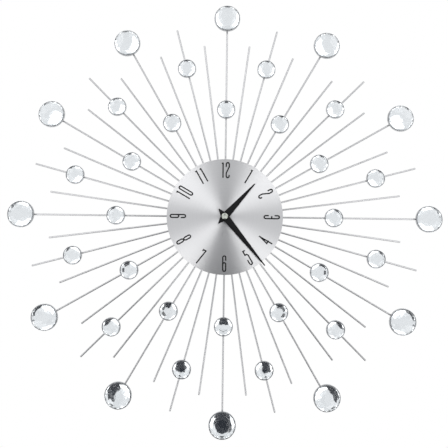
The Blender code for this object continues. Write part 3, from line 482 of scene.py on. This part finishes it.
# ---------------------------------------------------------------- sizes and colours


def size(name, description, default):
    """A length that a user may change."""
    return FloatProperty(
        name=name,
        description=description,
        default=default,
        min=0.0,
        unit="LENGTH",
        precision=5,
    )


class ClockRaySizes(bpy.types.PropertyGroup):
    """Sizes of the wires and cups."""

    wire_radius: size("Wire radius", "Half the thickness of each ray's wire", 0.0010)
    long_reach: size("Long ray", "From the arbor to the middle of an hour cup", 0.235)
    medium_reach: size("Medium ray", "From the arbor to the tip of a half-hour ray", 0.2285)
    plain_reach: size("Plain ray", "From the arbor to the tip of a ray with no cup", 0.204)
    inner_reach: size("Inner cup", "From the arbor to the middle of an inner cup", 0.1255)
    outer_reach: size("Outer cup", "From the arbor to the middle of an outer cup", 0.180)
    large_cup: size("Large cup radius", "Outside radius of an hour cup", 0.0154)
    small_cup: size("Small cup radius", "Outside radius of a small cup", 0.0108)
    cup_height: size("Cup height", "From the cup's back to its rim", 0.0030)
    hub_radius: size("Hub radius", "Radius of the plate the wires are welded to", 0.040)


class ClockStoneSizes(bpy.types.PropertyGroup):
    """How the stones are cut."""

    large_facets: IntProperty(
        name="Large facets", description="Facets round an hour stone", default=16, min=6
    )
    small_facets: IntProperty(
        name="Small facets", description="Facets round a small stone", default=12, min=6
    )
    table_share: FloatProperty(
        name="Table",
        description="Width of the flat top as a share of the stone",
        default=0.26,
        subtype="FACTOR",
    )


class ClockLight(bpy.types.PropertyGroup):
    """Brightness of the studio."""

    surround: FloatProperty(
        name="Surround", description="Brightness of the white surround", default=0.9
    )
    softbox: FloatProperty(
        name="Softbox", description="Power of each softbox in watts", default=12.5, unit="POWER"
    )
    softbox_side: FloatProperty(
        name="Softbox side", description="Side of each square softbox", default=1.5, unit="LENGTH"
    )
    flag_colour: FloatVectorProperty(
        name="Flag",
        description="Colour of the dark card below the lens",
        subtype="COLOR",
        size=4,
        default=linear("141A24"),
    )


# ---------------------------------------------------------------- pieces


class CLOCK_OT_rays(bpy.types.Operator):
    """Build the welded rays, their cups and the hub plate"""

    bl_idname = "clock.rays"
    bl_label = "Rays, cups and hub"

    def execute(self, context):
        sizes = context.scene.clock_rays
        wires = bmesh.new()
        cups = bmesh.new()
        for place in range(WIRES):
            kind = place % 4
            angle = math.tau * place / WIRES
            if kind == 0:
                reach = sizes.long_reach - sizes.large_cup / 2
                self.cup(cups, sizes, sizes.large_cup, sizes.long_reach, angle, LARGE_CUP_STEPS)
                self.cup(cups, sizes, sizes.small_cup, sizes.inner_reach, angle, SMALL_CUP_STEPS)
            elif kind == 2:
                reach = sizes.medium_reach
                self.cup(cups, sizes, sizes.small_cup, sizes.outer_reach, angle, SMALL_CUP_STEPS)
            else:
                reach = sizes.plain_reach
            self.wire(wires, sizes, reach, angle)
        wire_finish = plated_wire()
        rays = finished("wire_rays", wires, [wire_finish], smooth_deg=40)
        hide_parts("ray_frame")
        cup_piece = finished("stone_cups", cups, [plated_cup()], smooth_deg=40)
        self.hub(sizes.hub_radius, wire_finish)
        return {"FINISHED"}

    def hub(self, radius, finish):
        """The flat plate that the wires are welded to."""
        section = [
            (HUB_BORE, HUB_BACK),
            (radius - HUB_EDGE, HUB_BACK),
            (radius, HUB_BACK + HUB_EDGE),
            (radius, HUB_FRONT - HUB_EDGE),
            (radius - HUB_EDGE, HUB_FRONT),
            (HUB_BORE, HUB_FRONT),
            (HUB_BORE, HUB_BACK),
        ]
        bm = bmesh.new()
        spun(bm, section, HUB_STEPS)
        closed_up(bm)
        plate = finished("hub_plate", bm, [finish], smooth_deg=40)

    def wire(self, bm, sizes, reach, angle):
        """One round wire with its cut tip rounded over."""
        depth = HUB_FRONT + sizes.wire_radius - WELD
        part = bmesh.new()
        bmesh.ops.create_cone(
            part,
            cap_ends=True,
            segments=WIRE_SIDES,
            radius1=sizes.wire_radius,
            radius2=sizes.wire_radius,
            depth=reach - WIRE_START,
            matrix=Matrix.Translation((0.0, -depth, (reach + WIRE_START) / 2)),
        )
        tip = [e for e in part.edges if all(v.co.z > reach - NEAR for v in e.verts)]
        bmesh.ops.bevel(
            part,
            geom=tip,
            offset=sizes.wire_radius * TIP_ROUND_SHARE,
            offset_type="OFFSET",
            segments=3,
            profile=0.5,
            affect="EDGES",
            material=-1,
        )
        stamp(bm, part, at_clock_angle(angle))

    def cup(self, bm, sizes, radius, reach, angle, steps):
        """One shallow cup with a rounded rim, opening to the front."""
        floor = CUP_BACK + CUP_WALL
        rim = CUP_BACK + sizes.cup_height
        inner = radius - CUP_WALL
        middle = radius - CUP_WALL / 2
        section = [
            (0.0, CUP_BACK),
            (radius - HEEL, CUP_BACK),
            (radius - HEEL_BREAK, CUP_BACK + HEEL_BREAK),
            (radius, CUP_BACK + HEEL),
            (radius, rim - RIM),
            (radius - RIM_BREAK, rim - RIM_BREAK),
            (middle, rim),
            (inner + RIM_BREAK, rim - RIM_BREAK),
            (inner, rim - RIM),
            (inner, floor),
            (0.0, floor),
        ]
        part = bmesh.new()
        spun(part, section, steps)
        closed_up(part)
        stamp(bm, part, at_clock_angle(angle) @ Matrix.Translation((0.0, 0.0, reach)))


class CLOCK_OT_stones(bpy.types.Operator):
    """Cut every stone and silver its back"""

    bl_idname = "clock.stones"
    bl_label = "Stones"

    def execute(self, context):
        rays = context.scene.clock_rays
        cutting = context.scene.clock_stones
        finishes = [cut_acrylic(), silvering()]
        rings = (
            ("hour", rays.long_reach, rays.large_cup, cutting.large_facets, 0.0),
            ("inner", rays.inner_reach, rays.small_cup, cutting.small_facets, 0.0),
            ("outer", rays.outer_reach, rays.small_cup, cutting.small_facets, 0.5),
        )
        for kind, reach, cup_radius, facets, shift in rings:
            radius = cup_radius - CUP_WALL - STONE_GAP
            for place in range(HOURS):
                node = f"{kind}_crystal_{place or HOURS:02d}"
                low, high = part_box(node)
                turn = at_clock_angle((place + shift) * HOUR_TURN)
                bm = bmesh.new()
                self.cut(bm, radius, high.y - low.y, facets, cutting.table_share)
                move = turn @ Matrix.Translation((0.0, 0.0, reach))
                bmesh.ops.transform(bm, matrix=move, verts=bm.verts[:])
                stone = finished(f"{kind}_stone_{place or HOURS:02d}", bm, finishes)
                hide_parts(node)
        return {"FINISHED"}

    def cut(self, bm, radius, height, facets, table):
        """A flat-backed stone: the hull of rings whose turns alternate."""
        # Share of the radius, share of the height, facets, and turn in facets
        rows = (
            (1.0, 0.0, facets, 0.5),
            (1.0, 0.30, facets, 0.5),
            (0.93, 0.62, facets, 0.0),
            (0.78, 0.84, facets, 0.5),
            (0.54, 0.96, facets // 2, 0.0),
            (table, 1.0, facets // 2, 0.5),
        )
        for share, rise, count, turn in rows:
            place = Matrix.Translation((0.0, -STONE_BACK - rise * height, 0.0))
            spin = Matrix.Rotation(math.tau * turn / count, 4, "Z")
            lay = Matrix.Rotation(math.pi / 2, 4, "X") @ spin
            bmesh.ops.create_circle(bm, segments=count, radius=share * radius, matrix=place @ lay)
        bmesh.ops.convex_hull(bm, input=bm.verts[:])
        bmesh.ops.recalc_face_normals(bm, faces=bm.faces[:])
        bmesh.ops.dissolve_limit(
            bm, angle_limit=math.radians(0.5), verts=bm.verts[:], edges=bm.edges[:]
        )
        for face in bm.faces:
            face.material_index = 1 if face.normal.y > SILVERED else 0


class CLOCK_OT_dial(bpy.types.Operator):
    """Build the spun dial and its printed numerals"""

    bl_idname = "clock.dial"
    bl_label = "Dial"

    def execute(self, context):
        back = -DIAL_HIGH.y
        front = back + DIAL_THICK
        self.disc(back, front, DIAL_HIGH.x)
        self.numerals(front, -DIAL_LOW.y)
        return {"FINISHED"}

    def disc(self, back, front, radius):
        """The spun disc, with its edges broken."""
        section = [
            (DIAL_BORE, back),
            (radius - DIAL_EDGE, back),
            (radius - DIAL_BREAK, back + DIAL_BREAK),
            (radius, back + DIAL_EDGE),
            (radius, front - DIAL_EDGE),
            (radius - DIAL_BREAK, front - DIAL_BREAK),
            (radius - DIAL_EDGE, front),
            (DIAL_BORE, front),
            (DIAL_BORE, back),
        ]
        bm = bmesh.new()
        spun(bm, section, DIAL_STEPS)
        closed_up(bm)
        disc = finished("spun_dial", bm, [spun_aluminium()], smooth_deg=30)
        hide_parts("dial")

    def numerals(self, front, raised):
        """The numerals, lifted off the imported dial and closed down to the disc."""
        ink = merged_copy("dial")
        buried = [f for f in ink.faces if any(-v.co.y < raised - NEAR for v in f.verts)]
        bmesh.ops.delete(ink, geom=buried, context="FACES")
        bmesh.ops.dissolve_limit(
            ink, angle_limit=math.radians(1.0), verts=ink.verts[:], edges=ink.edges[:]
        )
        bmesh.ops.solidify(ink, geom=ink.faces[:], thickness=raised - front)
        bmesh.ops.recalc_face_normals(ink, faces=ink.faces[:])
        numerals = finished("printed_numerals", ink, [printed_ink()])


class CLOCK_OT_hands(bpy.types.Operator):
    """Lacquer the hands and turn the cap that holds them"""

    bl_idname = "clock.hands"
    bl_label = "Hands and cap"

    def execute(self, context):
        dress(["hour_hand", "minute_hand"], black_lacquer())
        low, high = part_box("hand_cap")
        radius = high.x
        back, front = -high.y, -low.y
        section = [
            (CAP_BORE, back + CAP_BORE_DEPTH),
            (CAP_BORE, back),
            (radius - CAP_CORNER, back),
            (radius, back + CAP_CORNER),
        ]
        section += [(radius * share, front - drop) for share, drop in CAP_CROWN]
        bm = bmesh.new()
        spun(bm, section, CAP_STEPS)
        closed_up(bm)
        open_rim = [e for e in bm.edges if e.is_boundary]
        bmesh.ops.holes_fill(bm, edges=open_rim, sides=0)
        bmesh.ops.recalc_face_normals(bm, faces=bm.faces[:])
        cap = finished("turned_cap", bm, [turned_nickel()], "minute_work", 50)
        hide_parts("hand_cap")
        return {"FINISHED"}


class CLOCK_OT_movement(bpy.types.Operator):
    """Finish the movement, its train, battery and hanger"""

    bl_idname = "clock.movement"
    bl_label = "Movement and hanger"

    def execute(self, context):
        dress(["movement_case", "movement_cover", "setting_knob"], moulded_abs())
        dress(["fixing_nut", "minute_arbor", "hour_wheel", "motion_wheel"], milled_brass())
        dress(["hanger_plate", "contact_positive", "contact_negative", "stator"], plated_sheet())
        dress(["centre_wheel", "third_wheel", "fourth_wheel", "fifth_wheel"], moulded_acetal())
        dress(["rotor"], sintered_ferrite())
        dress(["circuit_board"], masked_laminate())
        dress(["coil"], wound_copper())
        dress(["battery"], battery_film())
        return {"FINISHED"}


class CLOCK_OT_stage(bpy.types.Operator):
    """Set the pale floor, the soft studio light, the dark cards and the camera"""

    bl_idname = "clock.stage"
    bl_label = "Stage"

    def execute(self, context):
        light = context.scene.clock_light
        self.floor()
        self.flag(light)
        self.surround(context.scene, light)
        for row, height in (("upper", SOFTBOX_OUT), ("lower", -SOFTBOX_OUT)):
            for side, across in (("left", -SOFTBOX_OUT), ("right", SOFTBOX_OUT)):
                self.softbox(f"softbox_{row}_{side}", (across, SOFTBOX_FRONT, height), light)
        self.camera(context.scene)
        context.scene.view_settings.view_transform = "Standard"
        return {"FINISHED"}

    def floor(self):
        """A round pale floor well below the clock."""
        bm = bmesh.new()
        bmesh.ops.create_circle(
            bm,
            cap_ends=True,
            segments=FLOOR_STEPS,
            radius=FLOOR_RADIUS,
            matrix=Matrix.Translation((0.0, 0.0, FLOOR_HEIGHT)),
        )
        mesh = bpy.data.meshes.new("pale_floor")
        bm.to_mesh(mesh)
        bm.free()
        finish = mottled("matt_white_floor", "F4F4F2", "ECECEA", 0.8, 0.0, 40.0, 0.05, 0.1)
        mesh.materials.append(finish)
        floor = bpy.data.objects.new("pale_floor", mesh)
        bpy.context.scene.collection.objects.link(floor)

    def flag(self, light):
        """Dark cards below and behind the lens, which side wires and lower stones pick up."""
        bm = bmesh.new()
        pairs = [
            (bm.verts.new((left, y, z)), bm.verts.new((right, y, z)))
            for left, right, y, z in FLAG_ROWS
        ]
        for (left, right), (next_left, next_right) in zip(pairs, pairs[1:]):
            bm.faces.new((left, right, next_right, next_left))
        bm.faces.new([bm.verts.new((x, LENS_CARD_FRONT, z)) for x, z in LENS_CARD])
        mesh = bpy.data.meshes.new("dark_flag")
        bm.to_mesh(mesh)
        bm.free()
        mesh.materials.append(surface("dark_flag_card", light.flag_colour, 0.9)[0])
        flag = bpy.data.objects.new("dark_flag", mesh)
        flag.visible_camera = False
        bpy.context.scene.collection.objects.link(flag)

    def surround(self, scene, light):
        """A white surround: pure white behind the clock, softer in its reflections."""
        world = bpy.data.worlds.new("white_studio")
        scene.world = world
        world.use_nodes = True
        tree = world.node_tree
        tree.nodes.clear()
        seen = add(tree, "ShaderNodeLightPath").outputs["Is Camera Ray"]
        behind = add(
            tree, "ShaderNodeBackground", {"Color": linear("FFFFFF"), "Strength": 1.0}
        )
        around = add(
            tree,
            "ShaderNodeBackground",
            {"Color": linear("FCFDFF"), "Strength": light.surround},
        )
        mix = add(
            tree,
            "ShaderNodeMixShader",
            {0: seen, 1: around.outputs["Background"], 2: behind.outputs["Background"]},
        )
        add(tree, "ShaderNodeOutputWorld", {"Surface": mix.outputs["Shader"]})

    def softbox(self, name, place, light):
        """A large mild softbox turned to the dial."""
        data = bpy.data.lights.new(name, "AREA")
        data.shape = "SQUARE"
        data.size = light.softbox_side
        data.energy = light.softbox
        box = bpy.data.objects.new(name, data)
        box.location = place
        box.rotation_euler = Vector(place).to_track_quat("Z", "Y").to_euler()
        box.visible_camera = False
        bpy.context.scene.collection.objects.link(box)

    def camera(self, scene):
        """A lens a little below the arbor, tilted up to it."""
        data = bpy.data.cameras.new("front_camera")
        data.sensor_width = CAMERA_SENSOR
        data.lens = CAMERA_LENS
        camera = bpy.data.objects.new("front_camera", data)
        camera.location = CAMERA_PLACE
        camera.rotation_euler = (CAMERA_TILT, CAMERA_ROLL, 0.0)
        scene.collection.objects.link(camera)
        scene.camera = camera


class CLOCK_PT_panel(bpy.types.Panel):
    """The clock's pieces and sizes"""

    bl_label = "Sunburst wall clock"
    bl_space_type = "VIEW_3D"
    bl_region_type = "UI"
    bl_category = "Clock"

    def draw(self, context):
        """List the settings and the piece operators."""
        layout = self.layout
        scene = context.scene
        for group in (scene.clock_rays, scene.clock_stones, scene.clock_light):
            box = layout.box()
            for name in group.__annotations__:
                box.prop(group, name)
        for operator in OPERATORS:
            layout.operator(operator.bl_idname)


OPERATORS = (
    CLOCK_OT_rays,
    CLOCK_OT_stones,
    CLOCK_OT_dial,
    CLOCK_OT_hands,
    CLOCK_OT_movement,
    CLOCK_OT_stage,
)
CLASSES = (ClockRaySizes, ClockStoneSizes, ClockLight, *OPERATORS, CLOCK_PT_panel)


def register():
    """Register the classes and attach the settings to the scene."""
    for made in CLASSES:
        bpy.utils.register_class(made)
    bpy.types.Scene.clock_rays = PointerProperty(type=ClockRaySizes)
    bpy.types.Scene.clock_stones = PointerProperty(type=ClockStoneSizes)
    bpy.types.Scene.clock_light = PointerProperty(type=ClockLight)


def unregister():
    """Take the settings and classes away again."""
    for name in ("clock_rays", "clock_stones", "clock_light"):
        delattr(bpy.types.Scene, name)
    for made in reversed(CLASSES):
        bpy.utils.unregister_class(made)


def main():
    """Build every piece in order."""
    register()
    bpy.ops.clock.rays()
    bpy.ops.clock.stones()
    bpy.ops.clock.dial()
    bpy.ops.clock.hands()
    bpy.ops.clock.movement()
    bpy.ops.clock.stage()


if __name__ == "__main__":
    main()
